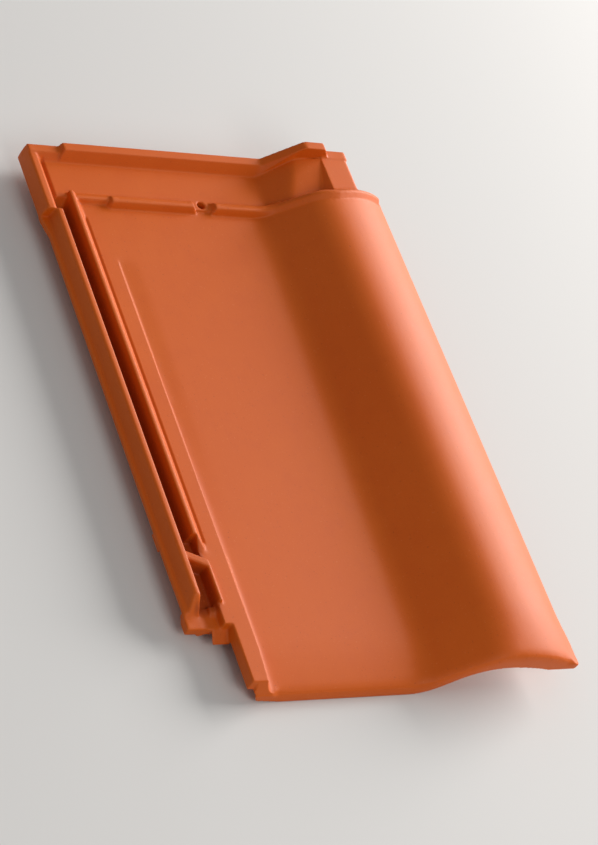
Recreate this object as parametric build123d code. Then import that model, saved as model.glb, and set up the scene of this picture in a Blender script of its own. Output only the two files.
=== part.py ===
from build123d import *
from math import asin, atan, cos, radians, sin, sqrt, tan
import os

# Interlocking clay roof tile, in millimetres.
# X runs from the side lock to the roll, Y from the foot to the head, Z up from the floor it lies on.

# Whole tile
tile_width = 307.6
tile_length = 458.0
body_thickness = 10.0
lug_height = 11.0
side_lap = 44.6
joint_overlap = 2.0
rib_round = 1.5

# Side lock, from its outer edge inwards
flange_width = 3.2
outer_rib_outer_run = 2.5
outer_rib_width = 5.2
outer_rib_inner_run = 1.7
channel_width = 7.5
inner_rib_outer_run = 1.9
inner_rib_width = 2.8
inner_rib_inner_run = 7.3

# Side lock, levels above and below the weather face
flange_drop = 3.5
flange_thickness = 4.5
outer_rib_height = 7.0
inner_rib_height = 6.5
channel_depth = 7.0
lock_thickness = 7.0

# Strip, crease and pan
strip_width = 14.5
crease_width = 4.0
pan_drop = 4.5
level_length = 101.0
nose_length = 45.0

# Roll
roll_reach = 61.0
roll_height = 30.0
roll_slope = 35.0
roll_hollow_radius = 31.0
roll_shoulder_radius = 45.0
roll_side_radius = 88.0
roll_edge_round = 4.0
roll_edge_face = 3.2

# Foot: the nose turns down to a lip and widens the roll over the next tile's neck
foot_pan_level = 9.5
foot_roll_reach = 65.0
foot_roll_level = 45.0
foot_side_radius = 137.0
foot_crease_shift = 3.0
foot_crease_width = 13.0
foot_lip_inset = 4.8
foot_lip_slant = 4.8
foot_lip_rise = 3.0
foot_lip_rise_run = 22.0
foot_edge_reach = 67.0
foot_edge_level = 30.4
foot_edge_slope = 40.0
foot_edge_hollow_radius = 39.0
foot_edge_shoulder_radius = 57.0
foot_edge_side_radius = 144.0
foot_edge_face = 1.5
foot_corner_round = 4.5
strip_end_y = 5.1
strip_end_run = 4.6
strip_end_height = 12.0
strip_side_end_y = 4.6

# Head lock: floor, slope, ledge, fin and neck, measured from the head and from the right edge
collar_setback = 46.0
head_floor_setback = 48.4
head_floor_rise = 2.0
head_ramp_length = 8.4
head_slope = 36.4
head_slope_round = 8.0
ledge_height = 21.0
ledge_width = 16.7
fin_run = 5.5
fin_height = 3.0
neck_width = 25.0
neck_setback = 34.2
neck_round = 3.0
neck_bead_length = 7.5
neck_bead_height = 0.9

# Rib along the head and the low rim at its left
head_rib_setback = 11.6
head_rib_front_run = 4.9
head_rib_height = 9.4
head_rib_left = 23.0
head_rib_end_run = 3.8
head_rib_slope_shift = 3.8
head_rib_ledge_height = 12.1
head_rib_right_run = 7.5
head_rib_round = 6.0
low_rim_height = 6.0
head_corner_round = 2.5

# Second rib across the pan, which runs on over the roll as its collar
second_rib_setback = 51.7
second_rib_depth = 12.5
second_rib_height = 6.5
second_rib_gap = 1.5
second_rib_end_run = 8.5
collar_height = 3.3
collar_recede = 12.0
collar_inset = 9.0

# Nail hole and its notch
nail_reach = 170.0
nail_setback = 43.5
nail_diameter = 6.5
notch_width = 12.0
notch_top_width = 20.0

# Side lock beside the head lock, set out to the left
head_step_setback = 59.5
head_jog = 2.7
head_jog_start = 75.0
head_jog_length = 13.0
head_edge_drop = 7.0
head_edge_height = 6.6
head_rib_outer_run = 1.5
head_rib_width = 5.7
head_rib_inner_run = 4.8
inner_rib_setback = 41.0

# Foot end of the side lock: rib ends, cross bar, pocket and end block
inner_rib_foot_y = 107.0
inner_rib_end_run = 10.8
bar_y = 106.8
bar_skew = 8.3
bar_thickness = 6.4
bar_height = 4.0
short_rib_inset = 3.5
short_rib_width = 2.5
short_rib_run = 1.6
pocket_end_y = 66.0
pocket_drop = 0.8
pocket_wall_height = 3.0
pocket_wall_thickness = 4.0
outer_rib_end_y = 70.0
ledge_end_y = 58.5
ledge_drop = 6.5
lock_end_y = 50.0
block_end_y = 41.0
block_end_drop = 5.4
block_width = 13.0
block_thickness = 4.5
block_tip = 1.0
block_undercut = 31.0
flange_web_y = 114.0
flange_web_length = 14.0
flange_web_depth = 3.0
nib_shift = 1.0
nib_radius = 3.7
nib_drop = 2.6
nib_length = 16.0

# Rib under the roll, for the next tile's channel
cover_rib_clearance = 1.25
cover_rib_taper = 2.5
cover_rib_gap = 5.0

# Batten lugs under the head
lug_width = 34.0
lug_length = 18.0
lug_setback = 14.0
lug_margin = 8.0
lug_left_gap = 21.0
lug_round = 3.0

# Places that follow from the sizes
face = lug_height + body_thickness
outer_rib_left = flange_width
outer_top_left = outer_rib_left + outer_rib_outer_run
outer_top_right = outer_top_left + outer_rib_width
channel_left = outer_top_right + outer_rib_inner_run
channel_right = channel_left + channel_width
inner_top_left = channel_right + inner_rib_outer_run
inner_top_right = inner_top_left + inner_rib_width
strip_left = inner_top_right + inner_rib_inner_run
crease_left = strip_left + strip_width
crest_x = tile_width - roll_reach
crest = face + roll_height
collar_y = tile_length - collar_setback
collar_slant = atan(collar_recede / roll_reach)
level_end_y = tile_length - level_length
above_all = 2 * (crest + face)
flange_top = face - flange_drop
flange_bottom = flange_top - flange_thickness
outer_top = face + outer_rib_height
inner_top = face + inner_rib_height
channel_floor = face - channel_depth
lock_bottom = channel_floor - lock_thickness
head_floor = face + head_floor_rise
ledge = head_floor + ledge_height
neck = ledge + fin_height
neck_right = tile_width - neck_setback
fin_top_x = neck_right - neck_width
fin_x = fin_top_x - fin_run
slope_top_x = fin_x - ledge_width
slope_foot_x = slope_top_x - ledge_height / tan(radians(head_slope))


def roll_rise(pan, crest_x, crest, slope, hollow, shoulder):
    """Where the pan ends, and the hollow, slope and shoulder from there up to the crest."""
    lean = radians(slope)
    lift = 1 - cos(lean)
    run = (crest - pan - (hollow + shoulder) * lift) / tan(lean)
    shoulder_start = (crest_x - shoulder * sin(lean), crest - shoulder * lift)
    hollow_end = (shoulder_start[0] - run, pan + hollow * lift)
    pan_end = (hollow_end[0] - hollow * sin(lean), pan)
    half = lean / 2
    hollow_middle = (pan_end[0] + hollow * sin(half), pan + hollow * (1 - cos(half)))
    shoulder_middle = (crest_x - shoulder * sin(half), crest - shoulder * (1 - cos(half)))
    curves = [
        ThreePointArc(pan_end, hollow_middle, hollow_end),
        Line(hollow_end, shoulder_start),
        ThreePointArc(shoulder_start, shoulder_middle, (crest_x, crest)),
    ]
    return pan_end, curves


def roll_fall(top_x, top, side, under_x, under_top, under_side, edge_face):
    """The roll from its crest down to the right edge, round it and back up below to the crest."""
    edge_x = tile_width - roll_edge_round
    fall = asin((edge_x - top_x) / (side - roll_edge_round))
    turn = (fall + radians(90)) / 2
    edge_level = top - side + (side - roll_edge_round) * cos(fall)
    fall_middle = (top_x + side * sin(fall / 2), top - side * (1 - cos(fall / 2)))
    fall_end = (top_x + side * sin(fall), top - side * (1 - cos(fall)))
    edge_middle = (edge_x + roll_edge_round * sin(turn), edge_level + roll_edge_round * cos(turn))

    edge_bottom = edge_level - edge_face
    reach = sqrt(under_side ** 2 - (under_side - (under_top - edge_bottom)) ** 2)
    lip_corner = (under_x + reach, edge_bottom)
    under_middle = (under_x + reach / 2, under_top - under_side + sqrt(under_side ** 2 - (reach / 2) ** 2))
    return [
        ThreePointArc((top_x, top), fall_middle, fall_end),
        ThreePointArc(fall_end, edge_middle, (tile_width, edge_level)),
        Polyline((tile_width, edge_level), (tile_width, edge_bottom), lip_corner),
        ThreePointArc(lip_corner, under_middle, (under_x, under_top)),
    ]


def section(plane, curves):
    return plane * make_face([edge for curve in curves for edge in curve.edges()])


def blend(start, end, share):
    return [a + (b - a) * share for a, b in zip(start, end)]


def body_section(y, drop, share):
    """The body at a station; drop is how far the pan has sunk, share goes from 0 to 1 along the nose."""
    pan = face - drop
    bottom = pan - body_thickness
    above = blend(
        [pan, crest_x, crest, roll_slope, roll_hollow_radius, roll_shoulder_radius, roll_side_radius],
        [
            foot_pan_level,
            tile_width - foot_roll_reach,
            foot_roll_level,
            roll_slope,
            roll_hollow_radius,
            roll_shoulder_radius,
            foot_side_radius,
        ],
        share,
    )
    below = blend(
        [
            bottom,
            crest_x,
            crest - body_thickness,
            roll_slope,
            roll_hollow_radius + body_thickness,
            roll_shoulder_radius - body_thickness,
            roll_side_radius - body_thickness,
        ],
        [
            0,
            tile_width - foot_edge_reach,
            foot_edge_level,
            foot_edge_slope,
            foot_edge_hollow_radius,
            foot_edge_shoulder_radius,
            foot_edge_side_radius,
        ],
        share,
    )
    foot_lip_left = strip_left + foot_lip_inset
    foot_crease_left = crease_left - foot_crease_shift
    lip_right, lip_left, fold_left, fold_right, edge_face = blend(
        [crease_left + crease_width, crease_left, crease_left, crease_left + crease_width, roll_edge_face],
        [
            foot_lip_left + foot_lip_slant,
            foot_lip_left,
            foot_crease_left,
            foot_crease_left + foot_crease_width,
            foot_edge_face,
        ],
        share,
    )
    left = [
        (lip_right + foot_lip_rise_run, below[0]),
        (lip_right, below[0] + share * foot_lip_rise),
        (lip_left, face - body_thickness),
        (strip_left, face - body_thickness),
        (strip_left, face),
        (fold_left, face),
        (fold_right, above[0]),
    ]
    pan_end, rise = roll_rise(*above[:6])
    under_end, under_rise = roll_rise(*below[:6])
    fall = roll_fall(above[1], above[2], above[6], below[1], below[2], below[6], edge_face)
    return section(Plane.XZ.offset(-y), [Polyline(under_end, *left, pan_end)] + rise + fall + under_rise)


def second_rib_section(y, rib_share, collar_share):
    """Second rib up to the crest at a station; a share is 1 at full height and below 0 inside the body."""
    root = body_thickness - joint_overlap
    rib_left = crease_left + second_rib_gap
    rib_top = face + rib_share * second_rib_height
    collar_top = crest + collar_share * collar_height
    pan_end, rise = roll_rise(
        rib_top,
        crest_x,
        collar_top,
        roll_slope,
        roll_hollow_radius,
        roll_shoulder_radius,
    )
    under_end, under_rise = roll_rise(
        face - root,
        crest_x,
        crest - root,
        roll_slope,
        roll_hollow_radius + root,
        roll_shoulder_radius - root,
    )
    left = Polyline(under_end, (rib_left, face - root), (rib_left + second_rib_end_run, rib_top), pan_end)
    crest_line = Line((crest_x, collar_top), (crest_x, crest - root))
    return section(Plane.XZ.offset(-y), [left] + rise + [crest_line] + under_rise)


def collar_section(y, share):
    """Collar from the crest towards the right edge, in an upright plane that slants back to the head."""
    root = body_thickness - joint_overlap
    stretch = 1 / cos(collar_slant)
    reach = (roll_reach - collar_inset) * stretch
    arcs = []
    ends = []
    for top, side in (
        (crest + share * collar_height, roll_side_radius * stretch ** 2),
        (crest - root, roll_side_radius * stretch ** 2 - root),
    ):
        middle = (reach / 2, top - side + sqrt(side ** 2 - (reach / 2) ** 2))
        end = (reach, top - side + sqrt(side ** 2 - reach ** 2))
        arcs.append(ThreePointArc((0, top), middle, end))
        ends.append(end)
    crest_line = Line((0, crest + share * collar_height), (0, crest - root))
    slanted = Plane(
        origin=(crest_x, y, 0),
        x_dir=(cos(collar_slant), sin(collar_slant), 0),
        z_dir=(sin(collar_slant), -cos(collar_slant), 0),
    )
    return section(slanted, arcs + [crest_line, Line(*ends)])


def outline(corners):
    """Closed face from corners given as (across, up, rounding)."""
    return make_face(FilletPolyline(*[c[:2] for c in corners], radius=[c[2] for c in corners], close=True))


def prism(corners, start, end):
    """Solid with an XZ outline between two stations along the tile."""
    return extrude(Plane.XZ.offset(-start) * outline(corners), -(end - start))


def bar(corners, left, right):
    """Solid with a YZ outline between two places across the tile."""
    return extrude(Plane.YZ.offset(left) * outline(corners), right - left)


def plan(corners, bottom, top):
    """Upright solid with an XY outline between two levels."""
    return extrude(Plane.XY.offset(bottom) * outline(corners), top - bottom)


def corner_waste(x, y, radius, inward_x, inward_y):
    """What an upright corner loses when it is rounded; inward is 1 or -1 along each axis."""
    block = Pos(x, y, 0) * Box(2 * radius, 2 * radius, 3 * above_all)
    return block - Pos(x + inward_x * radius, y + inward_y * radius, 0) * Cylinder(radius, 4 * above_all)


# Body: level at the head, then the pan sinks below the strip, then the nose turns down
body_end_y = collar_y + collar_recede
tile = loft([body_section(body_end_y, 0, 0), body_section(level_end_y, 0, 0)], ruled=True)
tile += loft([body_section(level_end_y, 0, 0), body_section(nose_length, pan_drop, 0)], ruled=True)
nose_steps = 5
nose = [
    body_section(nose_length * (1 - step / nose_steps), pan_drop, (step / nose_steps) ** 2)
    for step in range(nose_steps + 1)
]
tile += loft(nose, ruled=False)
tile -= plan(
    [
        (0, collar_y, 0),
        (crest_x, collar_y, 0),
        (crest_x + 2 * roll_reach, collar_y + 2 * collar_recede, 0),
        (0, collar_y + 2 * collar_recede, 0),
    ],
    0,
    above_all,
)

# The strip's end slants above the lip and is upright at its side; the foot's right corner is rounded
tile -= bar(
    [
        (strip_end_y, face, 0),
        (strip_end_y - strip_end_run, face - strip_end_height, 0),
        (-strip_end_y, face - strip_end_height, 0),
        (-strip_end_y, above_all, 0),
        (strip_end_y, above_all, 0),
    ],
    0,
    crease_left - foot_crease_shift + foot_crease_width,
)
tile -= bar(
    [
        (strip_side_end_y, 0, 0),
        (-strip_end_y, 0, 0),
        (-strip_end_y, above_all, 0),
        (strip_side_end_y, above_all, 0),
    ],
    0,
    strip_left + foot_lip_inset,
)
tile -= corner_waste(tile_width, 0, foot_corner_round, -1, 1)

# Head lock: floor, slope, ledge, fin and neck
head_floor_y = tile_length - head_floor_setback
head_left = head_rib_outer_run + head_rib_width + head_rib_inner_run - head_jog
head_block = prism(
    [
        (head_left, head_floor, 0),
        (slope_foot_x, head_floor, head_slope_round),
        (slope_top_x, ledge, head_slope_round),
        (fin_x, ledge, rib_round),
        (fin_top_x, neck, rib_round),
        (neck_right, neck, neck_round),
        (neck_right, neck - body_thickness, 0),
        (fin_top_x, neck - body_thickness, 0),
        (slope_top_x, ledge - body_thickness, head_slope_round),
        (slope_foot_x, face - body_thickness, head_slope_round),
        (head_left, face - body_thickness, 0),
    ],
    head_floor_y,
    tile_length,
)
# The floor ramps up from the strip, and ends in a steep wall at the side channel
head_block -= bar(
    [
        (head_floor_y - joint_overlap, face, 0),
        (head_floor_y, face, 0),
        (head_floor_y + head_ramp_length, head_floor, 0),
        (head_floor_y + head_ramp_length, above_all, 0),
        (head_floor_y - joint_overlap, above_all, 0),
    ],
    inner_top_left,
    crease_left + second_rib_gap + second_rib_end_run,
)
head_block -= bar(
    [
        (head_floor_y - joint_overlap, channel_floor, 0),
        (head_floor_y, channel_floor, 0),
        (head_floor_y + head_ramp_length / 2, head_floor, 0),
        (head_floor_y + head_ramp_length / 2, above_all, 0),
        (head_floor_y - joint_overlap, above_all, 0),
    ],
    0,
    inner_top_left,
)
tile += head_block
tile += prism(
    [
        (fin_top_x, neck - joint_overlap, 0),
        (fin_top_x, neck + neck_bead_height, 0),
        (neck_right + neck_bead_height, neck + neck_bead_height, neck_round),
        (neck_right + neck_bead_height, neck - body_thickness, 0),
        (neck_right - joint_overlap, neck - body_thickness, 0),
        (neck_right - joint_overlap, neck - joint_overlap, 0),
    ],
    tile_length - neck_bead_length,
    tile_length,
)


def head_rib_corners(share):
    """XZ corners of the rib along the head; share is its height over floor, slope and ledge."""
    top = head_floor + share * head_rib_height
    ledge_top = ledge + share * head_rib_ledge_height
    return [
        (head_rib_left, head_floor - joint_overlap, 0),
        (head_rib_left + share * head_rib_end_run, top, rib_round),
        (slope_foot_x + share * head_rib_slope_shift, top, head_rib_round),
        (slope_top_x + share * head_rib_slope_shift, ledge_top, head_rib_round),
        (fin_top_x, ledge_top, rib_round),
        (fin_top_x + head_rib_right_run, neck - joint_overlap / 2, 0),
        (fin_x, ledge - joint_overlap, 0),
        (slope_top_x, ledge - joint_overlap, 0),
        (slope_foot_x, head_floor - joint_overlap, 0),
    ]


# Rib along the head; its front leans on the floor and stands upright on the ledge
head_rib_y = tile_length - head_rib_setback
head_rib_top_y = head_rib_y + head_rib_front_run
head_rib = loft(
    [
        Plane.XZ.offset(-head_rib_y) * outline(head_rib_corners(0.02)),
        Plane.XZ.offset(-head_rib_top_y) * outline(head_rib_corners(1)),
    ],
    ruled=True,
)
head_rib -= plan(
    [
        (slope_foot_x, head_rib_y - joint_overlap, 0),
        (slope_foot_x, head_rib_y, 0),
        (slope_top_x, head_rib_top_y, 0),
        (fin_top_x + head_rib_right_run, head_rib_top_y, 0),
        (fin_top_x + head_rib_right_run, head_rib_y - joint_overlap, 0),
    ],
    0,
    above_all,
)
tile += head_rib
tile += prism(head_rib_corners(1), head_rib_top_y, tile_length)
tile += bar(
    [
        (head_rib_y, head_floor - joint_overlap, 0),
        (head_rib_y, head_floor, 0),
        (head_rib_top_y, head_floor + low_rim_height, rib_round),
        (tile_length, head_floor + low_rim_height, rib_round),
        (tile_length, head_floor - joint_overlap, 0),
    ],
    head_rib_outer_run - head_jog,
    head_rib_left + head_rib_end_run,
)

# Second rib, running on as the collar of the roll, with a notch at the nail hole
second_rib_y = tile_length - second_rib_setback
nail_x = tile_width - nail_reach
rib_profile = [
    (0, -0.1, -0.1),
    (0.08, 0.45, 0.25),
    (0.18, 0.88, 0.55),
    (0.28, 1, 0.85),
    (0.38, 1, 1),
    (0.5, 1, 0.85),
    (0.7, 0.8, 0.1),
    (1, -0.6, -1.2),
]
rib_steps = [(second_rib_y + place * second_rib_depth, rib, collar) for place, rib, collar in rib_profile]
second_rib = loft([second_rib_section(*step) for step in rib_steps], ruled=True)
second_rib -= prism(
    [
        (nail_x - notch_width / 2, face, rib_round),
        (nail_x - notch_top_width / 2, face + second_rib_height, 0),
        (nail_x - notch_top_width / 2, above_all, 0),
        (nail_x + notch_top_width / 2, above_all, 0),
        (nail_x + notch_top_width / 2, face + second_rib_height, 0),
        (nail_x + notch_width / 2, face, rib_round),
    ],
    second_rib_y - second_rib_depth,
    second_rib_y + 2 * second_rib_depth,
)
tile += second_rib
tile += loft([collar_section(y, collar) for y, rib, collar in rib_steps], ruled=True)

# Side lock: flange, outer rib and channel, and the inner rib with its sloped foot end
step_y = tile_length - head_step_setback
tile += prism(
    [
        (0, flange_bottom, rib_round),
        (0, flange_top, rib_round),
        (outer_rib_left, flange_top, rib_round / 2),
        (outer_top_left, outer_top, rib_round),
        (outer_top_right, outer_top, rib_round),
        (channel_left, channel_floor, rib_round),
        (channel_right, channel_floor, rib_round),
        (inner_top_left, face, 0),
        (strip_left + joint_overlap, face, 0),
        (strip_left + joint_overlap, lock_bottom, rib_round),
        (outer_top_right, lock_bottom, rib_round),
        (outer_top_left, flange_bottom, rib_round),
    ],
    lock_end_y,
    step_y,
)
inner_rib_head_y = tile_length - inner_rib_setback
inner_rib = prism(
    [
        (channel_right, channel_floor, 0),
        (inner_top_left, inner_top, rib_round / 2),
        (inner_top_right, inner_top, rib_round / 2),
        (strip_left, face, 0),
        (strip_left, channel_floor, 0),
    ],
    inner_rib_foot_y,
    inner_rib_head_y,
)
inner_rib -= bar(
    [
        (inner_rib_foot_y, face, 0),
        (inner_rib_foot_y + inner_rib_end_run, inner_top, 0),
        (inner_rib_foot_y + inner_rib_end_run, above_all, 0),
        (inner_rib_foot_y - joint_overlap, above_all, 0),
        (inner_rib_foot_y - joint_overlap, face, 0),
    ],
    0,
    crease_left,
)
tile += inner_rib
short_rib_right = strip_left - short_rib_inset
short_rib_left = short_rib_right - short_rib_width
channel_middle = (channel_left + channel_right) / 2
tile -= plan(
    [
        (channel_middle, bar_y - bar_skew, 0),
        (channel_middle, inner_rib_foot_y + inner_rib_end_run, 0),
        (inner_top_right, inner_rib_foot_y + inner_rib_end_run, 0),
        (short_rib_left, bar_y - bar_skew, 0),
    ],
    channel_floor + pocket_drop,
    above_all,
)

# Side lock beside the head lock: the channel runs on, the outer rib is set out by its width
tile += prism(
    [
        (outer_top_left, lock_bottom, 0),
        (outer_top_left, channel_floor, 0),
        (channel_right, channel_floor, rib_round),
        (inner_top_left, face, 0),
        (strip_left + joint_overlap, face, 0),
        (strip_left + joint_overlap, lock_bottom, rib_round),
    ],
    step_y - joint_overlap,
    head_floor_y + head_ramp_length,
)
tile += prism(
    [
        (-head_jog, face - head_edge_drop, 0),
        (-head_jog, face - head_edge_drop + head_edge_height, 0),
        (head_rib_outer_run - head_jog, outer_top, rib_round),
        (head_rib_outer_run + head_rib_width - head_jog, outer_top, rib_round),
        (head_left, head_floor, 0),
        (head_left + joint_overlap, head_floor, 0),
        (head_left + joint_overlap, face - body_thickness, 0),
        (outer_rib_left, face - body_thickness, rib_round),
    ],
    step_y,
    tile_length,
)
jog_start_y = tile_length - head_jog_start
tile += plan(
    [
        (0, jog_start_y, 0),
        (-head_jog, jog_start_y + head_jog_length, 0),
        (-head_jog, step_y + joint_overlap, 0),
        (outer_top_left, step_y + joint_overlap, 0),
        (outer_top_left, jog_start_y, 0),
    ],
    flange_bottom,
    flange_top,
)

tile -= corner_waste(-head_jog, tile_length, head_corner_round, 1, -1)

# Foot end of the side lock: the outer rib runs out, the pocket, its end wall and the ledge
ledge_level = face - ledge_drop
tile -= bar(
    [
        (0, ledge_level, 0),
        (ledge_end_y, ledge_level, rib_round),
        (outer_rib_end_y, outer_top, 0),
        (outer_rib_end_y, above_all, 0),
        (0, above_all, 0),
    ],
    -head_jog,
    channel_left,
)
tile -= bar(
    [
        (0, ledge_level, 0),
        (ledge_end_y, ledge_level, rib_round),
        (pocket_end_y - pocket_wall_thickness, channel_floor + pocket_wall_height, 0),
        (pocket_end_y, channel_floor + pocket_wall_height, 0),
        (pocket_end_y, channel_floor - pocket_drop, 0),
        (bar_y - bar_skew, channel_floor - pocket_drop, 0),
        (bar_y - bar_skew, above_all, 0),
        (0, above_all, 0),
    ],
    channel_left,
    short_rib_left,
)
tile += plan(
    [
        (outer_top_right, bar_y - bar_thickness, 0),
        (outer_top_right, bar_y, 0),
        (short_rib_right, bar_y - bar_skew, rib_round),
        (short_rib_right, bar_y - bar_skew - bar_thickness, 0),
    ],
    lock_bottom,
    face + bar_height,
)
tile += prism(
    [
        (short_rib_left - short_rib_run / 2, lock_bottom, 0),
        (short_rib_left, face + bar_height, rib_round / 2),
        (short_rib_right, face + bar_height, rib_round / 2),
        (short_rib_right + short_rib_run, face, 0),
        (short_rib_right + short_rib_run, lock_bottom, 0),
    ],
    pocket_end_y,
    bar_y - bar_skew - bar_thickness / 2,
)

# Sloped block beside the foot end, the webs that close the flange from below, and a half-round nib
block_left = strip_left - block_width
block_right = strip_left + joint_overlap
block = []
for block_y, top, thickness in (
    (lock_end_y + joint_overlap, ledge_level, block_thickness),
    (lock_end_y, ledge_level, block_thickness),
    (block_end_y, ledge_level - block_end_drop, block_tip),
):
    block.append(
        Plane.XZ.offset(-block_y)
        * outline(
            [
                (block_left, top, 0),
                (block_right, top, 0),
                (block_right, top - thickness, 0),
                (block_left + thickness * tan(radians(block_undercut)), top - thickness, 0),
            ]
        )
    )
tile += loft(block, ruled=True)
tile += plan(
    [
        (flange_width / 3, lock_end_y, 0),
        (flange_width / 3, ledge_end_y, 0),
        (outer_rib_left, pocket_end_y, 0),
        (channel_left, pocket_end_y, 0),
        (channel_left, lock_end_y, 0),
    ],
    lock_bottom,
    ledge_level,
)
tile += plan(
    [
        (flange_width / 3, flange_web_y, 0),
        (flange_width / 3, flange_web_y + flange_web_length, 0),
        (outer_top_right, flange_web_y + flange_web_length, 0),
        (outer_top_right, flange_web_y, 0),
    ],
    flange_bottom - flange_web_depth,
    flange_bottom + joint_overlap,
)
nib_level = lock_bottom - nib_drop + nib_radius
nib = Rot(90, 0, 0) * Cylinder(nib_radius, nib_length)
tile += Pos(channel_left + nib_shift, lock_end_y + nib_length / 2, nib_level) * nib

# Batten lugs, one beside the crease and one beside the slope
lug_back_y = tile_length - lug_setback
lug_left = crease_left + lug_left_gap
lug_right = slope_foot_x - lug_margin - lug_width
for lug_x in (lug_left, lug_right):
    tile += plan(
        [
            (lug_x, lug_back_y - lug_length, lug_round),
            (lug_x, lug_back_y, lug_round),
            (lug_x + lug_width, lug_back_y, lug_round),
            (lug_x + lug_width, lug_back_y - lug_length, lug_round),
        ],
        0,
        lug_height + joint_overlap,
    )

# Rib under the roll that hangs in the next tile's channel, short of its cross bar
cover_rib_x = tile_width - side_lap + (channel_left + channel_right) / 2
cover_rib_half = channel_width / 2 - cover_rib_clearance
under_radius = roll_side_radius - body_thickness
cover_rib_top = [
    crest - roll_side_radius + sqrt(under_radius ** 2 - (x - crest_x) ** 2) + joint_overlap
    for x in (cover_rib_x - cover_rib_half - cover_rib_taper, cover_rib_x + cover_rib_half + cover_rib_taper)
]
tile += prism(
    [
        (cover_rib_x - cover_rib_half, channel_floor + cover_rib_clearance, rib_round),
        (cover_rib_x - cover_rib_half - cover_rib_taper, cover_rib_top[0], 0),
        (cover_rib_x + cover_rib_half + cover_rib_taper, cover_rib_top[1], 0),
        (cover_rib_x + cover_rib_half, channel_floor + cover_rib_clearance, rib_round),
    ],
    bar_y + cover_rib_gap,
    second_rib_y,
)

# Nail hole
tile -= Pos(nail_x, tile_length - nail_setback, 0) * Cylinder(nail_diameter / 2, 2 * above_all)

middle = tile.bounding_box().center()
tile = Pos(-middle.X, -middle.Y, 0) * tile
os.makedirs("parts", exist_ok=True)
export_step(tile, "parts/roof_tile.step")
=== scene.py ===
import math

import bmesh
import bpy
import numpy as np
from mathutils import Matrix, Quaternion, Vector


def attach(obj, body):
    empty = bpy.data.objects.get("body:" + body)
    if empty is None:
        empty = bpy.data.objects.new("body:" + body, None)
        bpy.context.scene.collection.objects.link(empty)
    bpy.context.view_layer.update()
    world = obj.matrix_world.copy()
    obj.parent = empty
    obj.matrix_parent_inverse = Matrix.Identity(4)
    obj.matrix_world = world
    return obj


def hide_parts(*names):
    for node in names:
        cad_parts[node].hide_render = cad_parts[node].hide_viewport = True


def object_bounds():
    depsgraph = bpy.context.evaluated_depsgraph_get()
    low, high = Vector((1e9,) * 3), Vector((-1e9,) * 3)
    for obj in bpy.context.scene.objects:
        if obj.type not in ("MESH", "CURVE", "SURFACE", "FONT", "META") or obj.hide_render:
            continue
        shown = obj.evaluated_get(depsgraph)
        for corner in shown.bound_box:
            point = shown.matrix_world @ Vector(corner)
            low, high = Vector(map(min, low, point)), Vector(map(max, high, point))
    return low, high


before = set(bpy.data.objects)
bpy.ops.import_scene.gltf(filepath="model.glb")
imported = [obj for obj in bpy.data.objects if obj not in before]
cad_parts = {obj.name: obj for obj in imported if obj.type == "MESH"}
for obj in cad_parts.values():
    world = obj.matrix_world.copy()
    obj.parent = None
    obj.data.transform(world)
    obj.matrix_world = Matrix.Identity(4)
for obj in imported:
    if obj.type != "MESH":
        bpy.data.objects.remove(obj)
cad_low, cad_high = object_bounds()

# Pressed clay body: the grain that the mesh resolves, in metres, and how its faces are smoothed
CLAY_STEP = 0.0007
MERGE_DISTANCE = 1e-6
SMOOTH_FACTOR = 0.5
EDGE_PASSES = 3
IRONING_PASSES = 120
PLAIN_BEND = 0.05
EDGE_GUARD_RINGS = 4
CLAY_TRIANGLES = 180000
TINY = 1e-9

# Softer places at the lock's foot end: right side, foot side, head side and smoothing passes
SOFT_PLACES = (
    (-0.116, -0.200, -0.140, 6),
    (-0.133, -0.186, -0.148, 14),
)

# Least upward part of the normal on level, sloping and steep upper faces, and on walls
LEVEL_FACE = 0.5
SLOPING_FACE = 0.3
STEEP_FACE = 0.05
WALL_FACE = -0.4

# Length of the rows in which a level is read, in metres like the sizes and places that follow
ROW = 0.002

# Crease between the strip and the pan, which widens and shifts where the nose turns down
STRIP_LEVEL = 0.021
CREASE_X = -0.10585
CREASE_END_Y = 0.134
CREASE_WIDTH = 0.0009
CREASE_FOOT_WIDTH = 0.0028
CREASE_FOOT_SHIFT = 0.0022
CREASE_REACH = 0.018
PAN_BAND = 0.003
NOSE_LENGTH = 0.045

# Dip of the pan beside the crease: depth, full from and until across, and its ends along the tile
DIP_DEPTH = 0.0007
DIP_FULL_FROM = 0.0014
DIP_FULL_UNTIL = 0.001
DIP_HEAD_RUN = 0.012
DIP_FOOT_Y = -0.12
DIP_FULL_Y = 0.05

# Sill between the inner rib and the second rib: its ends, and its profile as place and level
SILL_LEFT = -0.1265
SILL_RIGHT = -0.0940
SILL_PROFILE = ((0.1799, 0.0200), (0.1824, 0.0254), (0.1850, 0.0256), (0.1886, 0.0228))

# Ledge beside the neck's fin, which falls from the head to the collar: pairs are place and level
LEDGE_LEFT = 0.0540
LEDGE_BOTTOM = 0.0300
LEDGE_TOP_X = 0.07375
LEDGE_LEVEL = 0.0440
LEDGE_SLOPE = 0.737
LEDGE_HEAD = (0.2215, 0.0455)
LEDGE_COLLAR = (0.1865, 0.0395)
LEDGE_MIDDLE_X = 0.0880
LEDGE_TILT = 0.17
LEDGE_ROUND = 0.0009
LEDGE_MARGIN = 0.0004

# Fin's face above the ledge
FIN_X = 0.09595
FIN_LEVEL = 0.0470
FIN_SLOPE = 1.2

# Two points on the line where the head rib stands on the ledge, as x and y
HEAD_RIB_FOOT = (0.0453, 0.2174)
HEAD_RIB_TOP = (0.07375, 0.2223)

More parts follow.
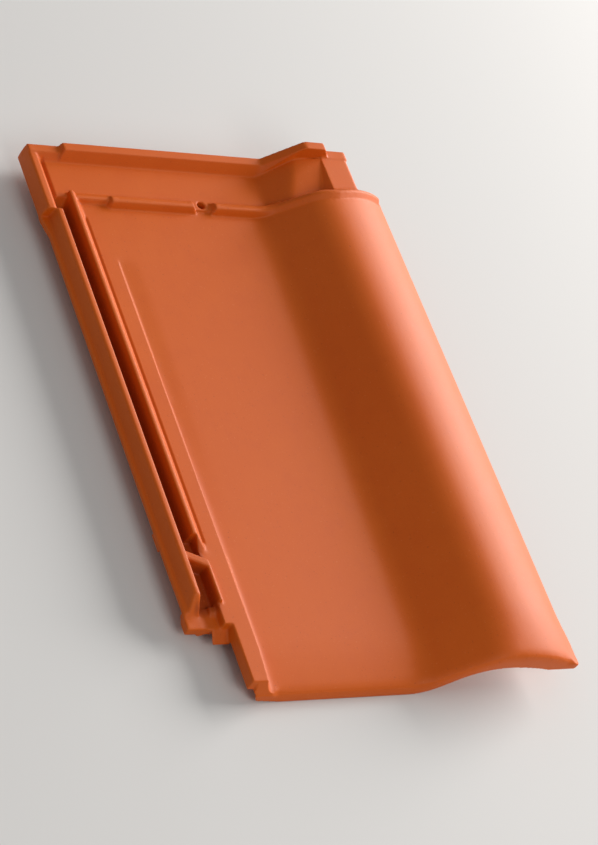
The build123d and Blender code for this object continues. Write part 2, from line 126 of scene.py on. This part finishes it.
# Grooves beside the ribs: middle, start, end, half width and depth
GROOVES = (
    (-0.1203, -0.117, 0.170, 0.0014, 0.0011),
    (-0.1419, 0.172, 0.2205, 0.0016, 0.0020),
)
GROOVE_RUN = 0.004

# Rolled upper edge of the foot: its radius and ends, and the bands in which its levels are read
FOOT_ROUND = 0.0055
FOOT_ROUND_LEFT = -0.1035
FOOT_ROUND_RIGHT = 0.1515
FOOT_ROUND_RUN = 0.010
FOOT_ROUND_LEAST = 0.0002
FOOT_ROUND_SHARE = 0.72
FOOT_EDGE_BAND = 0.0016
FOOT_INNER_BAND = 0.0008

# Side channel between its ribs, where shade is painted into the clay colour
CHANNEL_LEFT = -0.1465
CHANNEL_RIGHT = -0.1230
CHANNEL_FOOT = -0.1720
CHANNEL_HEAD = 0.1830
CHANNEL_RIM = 0.0265
CHANNEL_DEEP = 0.0185
CHANNEL_SIDE_RUN = 0.003
CHANNEL_END_RUN = 0.008

# Fired clay colours, as linear red, green and blue
CLAY_MAIN = (0.668, 0.113, 0.0035)
CLAY_PALE = (0.700, 0.130, 0.006)
CLAY_BURNT = (0.615, 0.094, 0.003)
# Paler clay on convex edges: partly edge wear, partly painted highlight
CLAY_WORN_LIT_EDGE = (0.760, 0.190, 0.040)
# Painted shade: darker clay colour in concave creases
CLAY_PAINTED_CREASE_SHADE = (0.480, 0.064, 0.002)
# Painted shade: darker clay colour deep in the side channel
CLAY_PAINTED_CHANNEL_SHADE = (0.330, 0.046, 0.003)
GRIT_DARK = (0.420, 0.060, 0.004)
GRIT_PALE = (0.760, 0.230, 0.070)

# Patterns in the clay: noise scale per metre, detail and roughness
CLOUDS = (7.0, 3.0, 0.5)
PATCHES = (55.0, 4.0, 0.6)
DRAG = (420.0, 2.0, 0.5)
GRAIN = (1300.0, 3.0, 0.7)
GRIT = (650.0, 2.0, 0.55)
DRAG_STRETCH = (1.0, 0.04, 1.0)

# Where a tint begins and where it is full, as values of its pattern or of the surface's bend
PALE_CLOUDS = (0.46, 0.66)
PALE_PATCHES = (0.52, 0.72)
BURNT_PATCHES = (0.52, 0.32)
BURNT_DRAG = (0.56, 0.70)
# Bend at which the paler edge tint, partly wear and partly painted highlight, begins and is full
WORN_LIT_EDGE_BEND = (0.10, 0.45)
# Bend at which the painted shade in creases begins and is full
PAINTED_CREASE_SHADE_BEND = (-0.08, -0.40)
DARK_GRIT = (0.66, 0.74)
PALE_GRIT = (0.33, 0.26)

# How strong each tint is where it is full
PALE_CLOUDS_SHARE = 0.40
PALE_PATCHES_SHARE = 0.15
BURNT_PATCHES_SHARE = 0.20
BURNT_DRAG_SHARE = 0.10
# Strength of the paler edge tint, partly wear and partly painted highlight
WORN_LIT_EDGE_SHARE = 0.35
WORN_LIT_EDGE_GRAIN_SHARE = 0.5
# Strength of the painted shade in creases
PAINTED_CREASE_SHADE_SHARE = 0.6
# Strength of the painted shade in the side channel, varied by the patches
CHANNEL_SHADE_SHARE = 0.65
CHANNEL_SHADE_PATCHES_SHARE = 0.4
DARK_GRIT_SHARE = 0.45
PALE_GRIT_SHARE = 0.35

# Fired clay surface: sheen, and heights of its fine relief in metres
CLAY_IOR = 1.35
CLAY_ROUGHNESS = 0.45
PATCH_ROUGHNESS = 0.06
GRAIN_ROUGHNESS = 0.08
GRAIN_HEIGHT = 0.00005
PATCH_HEIGHT = 0.00007
DRAG_HEIGHT = 0.00003
PIT_DEPTH = 0.00008
RELIEF_STRENGTH = 0.6

# Sockets of Blender's Mix node that carry colours
MIX_FIRST = 6
MIX_SECOND = 7
MIX_RESULT = 2

# Studio: floor, surround, and lights as name, place, aim, width and height in metres, and watts
FLOOR_COLOUR = (0.74, 0.73, 0.715)
FLOOR_ROUGHNESS = 0.8
FLOOR_SIZE = 8.0
SURROUND_COLOUR = (1.0, 1.0, 1.0)
SURROUND_STRENGTH = 0.27
LIGHT_COLOUR = (1.0, 0.98, 0.96)
LIGHTS = (
    ("right_light", (2.84, 0.70, 1.30), (0.0, 0.0, 0.0), (2.4, 1.4), 130.0),
    ("front_light", (0.0, -1.30, 1.30), (0.0, 0.0, 0.0), (0.9, 0.9), 7.5),
    ("low_light", (1.60, 0.90, 0.20), (0.0, 0.0, 0.05), (1.4, 0.36), 10.0),
)

# Photograph's viewpoint: angles in degrees, places in metres, lens and sensor in millimetres
VIEW_AZIMUTH = -50.06
VIEW_ELEVATION = 41.82
VIEW_ROLL = 39.4
VIEW_TARGET = Vector((-0.00135, -0.0131, 0.021))
VIEW_DISTANCE = 1.9603
VIEW_NEAREST = 0.1
VIEW_FARTHEST = 50.0
LENS = 115.69
SENSOR = 36.0


class Shade:
    """A socket of a material, with arithmetic that adds Math nodes to its tree."""

    def __init__(self, finish, socket):
        self.finish = finish
        self.socket = socket

    def math(self, operation, first, second):
        return self.finish.add("ShaderNodeMath", {"operation": operation}, {0: first, 1: second})

    def __add__(self, other):
        return self.math("ADD", self, other)

    def __radd__(self, other):
        return self.math("ADD", other, self)

    def __sub__(self, other):
        return self.math("SUBTRACT", self, other)

    def __mul__(self, other):
        return self.math("MULTIPLY", self, other)


class Finish:
    """A material's node tree; add() makes one node and returns one of its outputs."""

    def __init__(self, name):
        self.material = bpy.data.materials.new(name)
        self.material.use_nodes = True
        self.tree = self.material.node_tree
        self.tree.nodes.clear()

    def add(self, kind, settings=None, inputs=None, output=0):
        node = self.tree.nodes.new(kind)
        for name, value in (settings or {}).items():
            setattr(node, name, value)
        for name, value in (inputs or {}).items():
            if isinstance(value, Shade):
                self.tree.links.new(value.socket, node.inputs[name])
            else:
                node.inputs[name].default_value = value
        return Shade(self, node.outputs[output]) if node.outputs else None

    def noise(self, place, scale, detail, roughness):
        return self.add(
            "ShaderNodeTexNoise",
            {"noise_dimensions": "3D"},
            {"Vector": place, "Scale": scale, "Detail": detail, "Roughness": roughness},
        )

    def attribute(self, name):
        return self.add("ShaderNodeAttribute", {"attribute_name": name}, output="Fac")

    def between(self, value, begin, full):
        """0 at begin, 1 at full, smooth between; begin may be the larger."""
        return self.add(
            "ShaderNodeMapRange",
            {"interpolation_type": "SMOOTHSTEP", "clamp": True},
            {"Value": value, "From Min": begin, "From Max": full},
        )

    def tint(self, amount, colour, other):
        return self.add(
            "ShaderNodeMix",
            {"data_type": "RGBA", "clamp_factor": True},
            {"Factor": amount, MIX_FIRST: colour, MIX_SECOND: other},
            output=MIX_RESULT,
        )

    def surface(self, inputs):
        """Ends the tree with a Principled surface."""
        surface = self.add("ShaderNodeBsdfPrincipled", None, inputs)
        self.add("ShaderNodeOutputMaterial", None, {"Surface": surface})
        return self.material


def rgba(colour):
    return (*colour, 1.0)


def fired_clay():
    """Matt terracotta: cloudy firing colour, drag lines along the press, grit and fine pores; paler
    edges that are partly wear and partly painted highlight, and painted shade in creases and in the
    side channel.
    """
    finish = Finish("fired_clay")
    place = finish.add("ShaderNodeTexCoord", output="Object")
    drag_place = finish.add("ShaderNodeMapping", None, {"Vector": place, "Scale": DRAG_STRETCH})

    clouds = finish.noise(place, *CLOUDS)
    patches = finish.noise(place, *PATCHES)
    drag = finish.noise(drag_place, *DRAG)
    grain = finish.noise(place, *GRAIN)
    grit = finish.noise(place, *GRIT)
    bend = finish.attribute("bend")
    # Where shade is painted into the side channel
    channel_shade_mix = finish.attribute("painted_channel_shade")

    pale = finish.between(clouds, *PALE_CLOUDS) * PALE_CLOUDS_SHARE
    pale += finish.between(patches, *PALE_PATCHES) * PALE_PATCHES_SHARE
    burnt = finish.between(patches, *BURNT_PATCHES) * BURNT_PATCHES_SHARE
    burnt += finish.between(drag, *BURNT_DRAG) * BURNT_DRAG_SHARE
    # Paler convex edges: partly wear, partly painted highlight
    edge = finish.between(bend, *WORN_LIT_EDGE_BEND) * (WORN_LIT_EDGE_SHARE + grain * WORN_LIT_EDGE_GRAIN_SHARE)
    # Painted shade in concave creases, where the surface bends inward
    painted_crease_shade = finish.between(bend, *PAINTED_CREASE_SHADE_BEND) * PAINTED_CREASE_SHADE_SHARE
    channel_shade_mix *= CHANNEL_SHADE_SHARE + patches * CHANNEL_SHADE_PATCHES_SHARE
    dark_grit = finish.between(grit, *DARK_GRIT)
    pale_grit = finish.between(grit, *PALE_GRIT)

    colour = finish.tint(pale, rgba(CLAY_MAIN), rgba(CLAY_PALE))
    colour = finish.tint(burnt, colour, rgba(CLAY_BURNT))
    # Paints the paler edges, partly wear and partly highlight
    colour = finish.tint(edge, colour, rgba(CLAY_WORN_LIT_EDGE))
    # Paints shade into the creases
    colour = finish.tint(painted_crease_shade, colour, rgba(CLAY_PAINTED_CREASE_SHADE))
    # Paints shade into the side channel
    colour = finish.tint(channel_shade_mix, colour, rgba(CLAY_PAINTED_CHANNEL_SHADE))
    colour = finish.tint(dark_grit * DARK_GRIT_SHARE, colour, rgba(GRIT_DARK))
    colour = finish.tint(pale_grit * PALE_GRIT_SHARE, colour, rgba(GRIT_PALE))

    roughness = CLAY_ROUGHNESS + patches * PATCH_ROUGHNESS + grain * GRAIN_ROUGHNESS
    height = grain * GRAIN_HEIGHT + patches * PATCH_HEIGHT + drag * DRAG_HEIGHT
    height -= dark_grit * PIT_DEPTH
    relief = {"Strength": RELIEF_STRENGTH, "Distance": 1.0, "Height": height}
    normal = finish.add("ShaderNodeBump", None, relief)
    return finish.surface(
        {"Base Color": colour, "Roughness": roughness, "Normal": normal, "IOR": CLAY_IOR}
    )


def studio_floor():
    finish = Finish("studio_floor")
    return finish.surface({"Base Color": rgba(FLOOR_COLOUR), "Roughness": FLOOR_ROUGHNESS})


def fade(value, low, high):
    """0 at low, 1 at high, smooth between; low may be the larger."""
    share = np.clip((value - low) / (high - low), 0.0, 1.0)
    return share * share * (3.0 - 2.0 * share)


def fade_ends(value, low, high, run):
    """1 between low and high, with a smooth run to 0 inside both ends."""
    return fade(value, low, low + run) * fade(value, high, high - run)


def inside(value, low, high):
    return (value > low) & (value < high)


def points(mesh, name):
    values = np.empty(len(mesh.vertices) * 3)
    mesh.vertices.foreach_get(name, values)
    return values.reshape(-1, 3)


def neighbours(mesh):
    """The two end points of every edge."""
    ends = np.empty(len(mesh.edges) * 2, dtype=np.int64)
    mesh.edges.foreach_get("vertices", ends)
    return ends.reshape(-1, 2).T


def level_along(place, level, used):
    """Mean level of the used points, read again at every point along one axis."""
    row = ((place - place.min()) / ROW).astype(int)
    number = np.bincount(row[used], minlength=row.max() + 1)
    total = np.bincount(row[used], level[used], minlength=row.max() + 1)
    known = np.flatnonzero(number)
    return np.interp(place, place.min() + (known + 0.5) * ROW, total[known] / number[known])


def sharpen_crease(places, outward):
    """Makes the step from the strip down to the pan as narrow as a pressed crease."""
    x, y, z = places.T
    turn = np.clip(1.0 - (y - cad_low[1]) / NOSE_LENGTH, 0.0, 1.0) ** 2
    across = x - CREASE_X + CREASE_FOOT_SHIFT * turn
    width = CREASE_WIDTH + (CREASE_FOOT_WIDTH - CREASE_WIDTH) * turn
    upward = outward[:, 2] > STEEP_FACE
    pan = level_along(y, z, upward & (abs(across - CREASE_REACH) < PAN_BAND))
    drop = np.maximum(STRIP_LEVEL - pan, 0.0)
    level = pan + drop * np.exp(-np.maximum(across, 0.0) / width)
    carved = upward & inside(across, 0.0, CREASE_REACH) & (y < CREASE_END_Y)
    z[carved] = np.minimum(z, level)[carved]

    dip = fade(across, 0.0, DIP_FULL_FROM) * fade(across, CREASE_REACH, DIP_FULL_UNTIL)
    head_end = fade(y, CREASE_END_Y, CREASE_END_Y - DIP_HEAD_RUN)
    foot_end = fade(y, DIP_FOOT_Y, DIP_FULL_Y)
    z -= DIP_DEPTH * dip * head_end * foot_end * upward


def raise_sill(places, outward):
    """The low bar that joins the second rib to the inner rib."""
    x, y, z = places.T
    along, levels = np.transpose(SILL_PROFILE)
    level = np.interp(y, along, levels)
    raised = (outward[:, 2] > SLOPING_FACE) & inside(x, SILL_LEFT, SILL_RIGHT)
    raised &= inside(y, along[0], along[-1])
    z[raised] = np.maximum(z, level)[raised]


def slant_ledge(places, outward):
    """Lets the ledge fall from the head to the collar, so that the fin beside it grows."""
    x, y, z = places.T
    slope = LEDGE_LEVEL + (x - LEDGE_TOP_X) * LEDGE_SLOPE
    fall = np.interp(y, *np.transpose((LEDGE_COLLAR, LEDGE_HEAD)))
    ledge = fall + (x - LEDGE_MIDDLE_X) * LEDGE_TILT
    ledge = -LEDGE_ROUND * np.logaddexp(-slope / LEDGE_ROUND, -ledge / LEDGE_ROUND)
    fin = FIN_LEVEL - (FIN_X - x) * FIN_SLOPE
    rib = np.interp(x, *np.transpose((HEAD_RIB_FOOT, HEAD_RIB_TOP)))
    moved = (outward[:, 2] > SLOPING_FACE) & inside(x, LEDGE_LEFT, FIN_X)
    moved &= inside(y, LEDGE_COLLAR[0], rib - LEDGE_MARGIN)
    moved &= inside(z, LEDGE_BOTTOM, FIN_LEVEL + LEDGE_MARGIN)
    z[moved] = np.minimum(np.maximum(ledge, fin), FIN_LEVEL)[moved]


def press_groove(places, outward, middle_x, start_y, end_y, half_width, depth):
    """A narrow groove along the tile, which runs out at both ends."""
    x, y, z = places.T
    deep = np.clip(1.0 - ((x - middle_x) / half_width) ** 2, 0.0, 1.0)
    deep *= fade_ends(y, start_y, end_y, GROOVE_RUN)
    z -= depth * deep * (outward[:, 2] > LEVEL_FACE)


def round_foot(places, outward):
    """Rolls the upper foot edge of the pan and the roll over into the front face."""
    x, y, z = places.T
    inward = y - cad_low[1]
    upward = outward[:, 2] > LEVEL_FACE
    downward = outward[:, 2] < -LEVEL_FACE
    at_edge = inward < FOOT_EDGE_BAND
    edge = level_along(x, z, upward & at_edge)
    inner = level_along(x, z, upward & (abs(inward - FOOT_ROUND) < FOOT_INNER_BAND))
    base = level_along(x, z, downward & at_edge)
    radius = np.minimum(FOOT_ROUND, FOOT_ROUND_SHARE * (edge - base))
    radius *= fade_ends(x, FOOT_ROUND_LEFT, FOOT_ROUND_RIGHT, FOOT_ROUND_RUN)

    lean = (inner - edge) / FOOT_ROUND
    along = radius - inward
    above = z - (edge + lean * inward - radius)
    moved = (along > 0.0) & (above > 0.0) & (radius > FOOT_ROUND_LEAST)
    pull = (np.maximum(along, above) / np.maximum(np.hypot(along, above), TINY))[moved]
    new_inward = radius[moved] - along[moved] * pull
    y[moved] = cad_low[1] + new_inward
    z[moved] = edge[moved] + lean[moved] * new_inward - radius[moved] + above[moved] * pull


def press_forms(mesh):
    """Presses the small forms into the clay."""
    places = points(mesh, "co")
    outward = points(mesh, "normal")
    sharpen_crease(places, outward)
    raise_sill(places, outward)
    slant_ledge(places, outward)
    for groove in GROOVES:
        press_groove(places, outward, *groove)
    round_foot(places, outward)
    mesh.vertices.foreach_set("co", places.ravel())
    mesh.update()


def bends(mesh):
    """How sharply the surface bends at each point: above 0 on edges, below 0 in hollows."""
    places = points(mesh, "co")
    outward = points(mesh, "normal")
    first, second = neighbours(mesh)
    step = places[second] - places[first]
    step /= np.maximum(np.linalg.norm(step, axis=1), TINY)[:, None]
    count = len(places)
    total = np.bincount(second, (step * outward[second]).sum(axis=1), count)
    total -= np.bincount(first, (step * outward[first]).sum(axis=1), count)
    number = np.bincount(first, minlength=count) + np.bincount(second, minlength=count)
    return total / np.maximum(number, 1)


def painted_channel_shade(mesh):
    """Where shade is painted into the clay: 1 deep in the side channel, 0 outside it."""
    x, y, z = points(mesh, "co").T
    deep = fade(z, CHANNEL_RIM, CHANNEL_DEEP) * (points(mesh, "normal")[:, 2] > WALL_FACE)
    deep *= fade_ends(x, CHANNEL_LEFT, CHANNEL_RIGHT, CHANNEL_SIDE_RUN)
    return deep * fade_ends(y, CHANNEL_FOOT, CHANNEL_HEAD, CHANNEL_END_RUN)


def plain_points(mesh):
    """The points that have no edge or hollow near them."""
    sharp = abs(bends(mesh)) > PLAIN_BEND
    first, second = neighbours(mesh)
    for _ in range(EDGE_GUARD_RINGS):
        wider = sharp.copy()
        wider[first] |= sharp[second]
        wider[second] |= sharp[first]
        sharp = wider
    return ~sharp


def merged_copy(node):
    """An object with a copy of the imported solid, whose faces share their points."""
    mesh = node.data.copy()
    mesh.name = "pressed_tile"
    solid = bmesh.new()
    solid.from_mesh(mesh)
    bmesh.ops.remove_doubles(solid, verts=solid.verts, dist=MERGE_DISTANCE)
    solid.to_mesh(mesh)
    solid.free()
    mesh.materials.clear()
    tile = bpy.data.objects.new("pressed_tile", mesh)
    bpy.context.scene.collection.objects.link(tile)
    return tile


def settle(tile):
    """Applies the tile's modifiers."""
    graph = bpy.context.evaluated_depsgraph_get()
    mesh = bpy.data.meshes.new_from_object(tile.evaluated_get(graph))
    tile.modifiers.clear()
    tile.data = mesh
    return mesh


def even_skin(tile, step):
    """Makes the tile one skin of small, even faces."""
    skin = tile.modifiers.new("clay_grain", "REMESH")
    skin.mode = "VOXEL"
    skin.voxel_size = step
    return settle(tile)


def soften(tile, passes, chosen):
    """Smooths the chosen points of the clay."""
    group = tile.vertex_groups.new(name="soft")
    group.add(np.flatnonzero(chosen).tolist(), 1.0, "REPLACE")
    soft = tile.modifiers.new("soft", "SMOOTH")
    soft.factor = SMOOTH_FACTOR
    soft.iterations = max(1, round(passes))
    soft.vertex_group = "soft"
    mesh = settle(tile)
    tile.vertex_groups.clear()
    return mesh


def thin_out(tile):
    """Leaves no more faces than the tile needs."""
    triangles = sum(len(face.vertices) - 2 for face in tile.data.polygons)
    if triangles > CLAY_TRIANGLES:
        fewer = tile.modifiers.new("fewer_faces", "DECIMATE")
        fewer.ratio = CLAY_TRIANGLES / triangles
        settle(tile)
    return tile.data


def pressed_tile(node):
    """The tile with the soft edges of pressed clay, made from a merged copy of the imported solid."""
    step = CLAY_STEP
    fineness = (CLAY_STEP / step) ** 2
    tile = merged_copy(node)
    mesh = even_skin(tile, step)
    press_forms(mesh)

    mesh = soften(tile, EDGE_PASSES * fineness, np.ones(len(mesh.vertices), dtype=bool))
    for right, foot, head, passes in SOFT_PLACES:
        x, y = points(mesh, "co").T[:2]
        mesh = soften(tile, passes * fineness, (x < right) & inside(y, foot, head))
    soften(tile, IRONING_PASSES * fineness, plain_points(mesh))

    mesh = thin_out(tile)
    mesh.shade_smooth()
    # bend drives the edge and crease tints; the second attribute marks where shade is painted in the
    # side channel
    for name, values in (("bend", bends(mesh)), ("painted_channel_shade", painted_channel_shade(mesh))):
        attribute = mesh.attributes.new(name, "FLOAT", "POINT")
        attribute.data.foreach_set("value", values.astype(np.float32))
    return tile


def area_light(name, place, aim, size, power):
    lamp = bpy.data.lights.new(name, "AREA")
    lamp.shape = "RECTANGLE"
    lamp.size, lamp.size_y = size
    lamp.energy = power
    lamp.color = LIGHT_COLOUR
    light = bpy.data.objects.new(name, lamp)
    light.location = place
    light.rotation_mode = "QUATERNION"
    light.rotation_quaternion = (Vector(aim) - Vector(place)).to_track_quat("-Z", "Y")
    bpy.context.scene.collection.objects.link(light)


def studio():
    """Pale floor, a large soft light at the right, weak ones in front and low down, even surround."""
    ground = bmesh.new()
    bmesh.ops.create_grid(ground, x_segments=1, y_segments=1, size=FLOOR_SIZE / 2)
    mesh = bpy.data.meshes.new("floor")
    ground.to_mesh(mesh)
    ground.free()
    floor = bpy.data.objects.new("floor", mesh)
    bpy.context.scene.collection.objects.link(floor)
    mesh.materials.append(studio_floor())

    for light in LIGHTS:
        area_light(*light)
    world = bpy.data.worlds.new("surround")
    world.use_nodes = True
    background = world.node_tree.nodes["Background"]
    background.inputs["Color"].default_value = rgba(SURROUND_COLOUR)
    background.inputs["Strength"].default_value = SURROUND_STRENGTH
    bpy.context.scene.world = world


def photograph_camera():
    """A camera at the photograph's viewpoint, turned about its line of sight as the picture is."""
    turn = math.radians(VIEW_AZIMUTH)
    lift = math.radians(VIEW_ELEVATION)
    level = math.cos(lift)
    back = Vector((math.sin(turn) * level, -math.cos(turn) * level, math.sin(lift)))
    lens = bpy.data.cameras.new("photograph")
    lens.lens = LENS
    lens.sensor_width = SENSOR
    lens.clip_start = VIEW_NEAREST
    lens.clip_end = VIEW_FARTHEST
    camera = bpy.data.objects.new("photograph", lens)
    camera.location = VIEW_TARGET + back * VIEW_DISTANCE
    camera.rotation_mode = "QUATERNION"
    upright = (-back).to_track_quat("-Z", "Y")
    camera.rotation_quaternion = upright @ Quaternion((0, 0, 1), math.radians(VIEW_ROLL))
    bpy.context.scene.collection.objects.link(camera)
    bpy.context.scene.camera = camera


tile = pressed_tile(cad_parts["roof_tile"])
tile.data.materials.append(fired_clay())
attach(tile, "root")
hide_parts("roof_tile")

studio()
photograph_camera()
bpy.context.scene.view_settings.view_transform = "Standard"
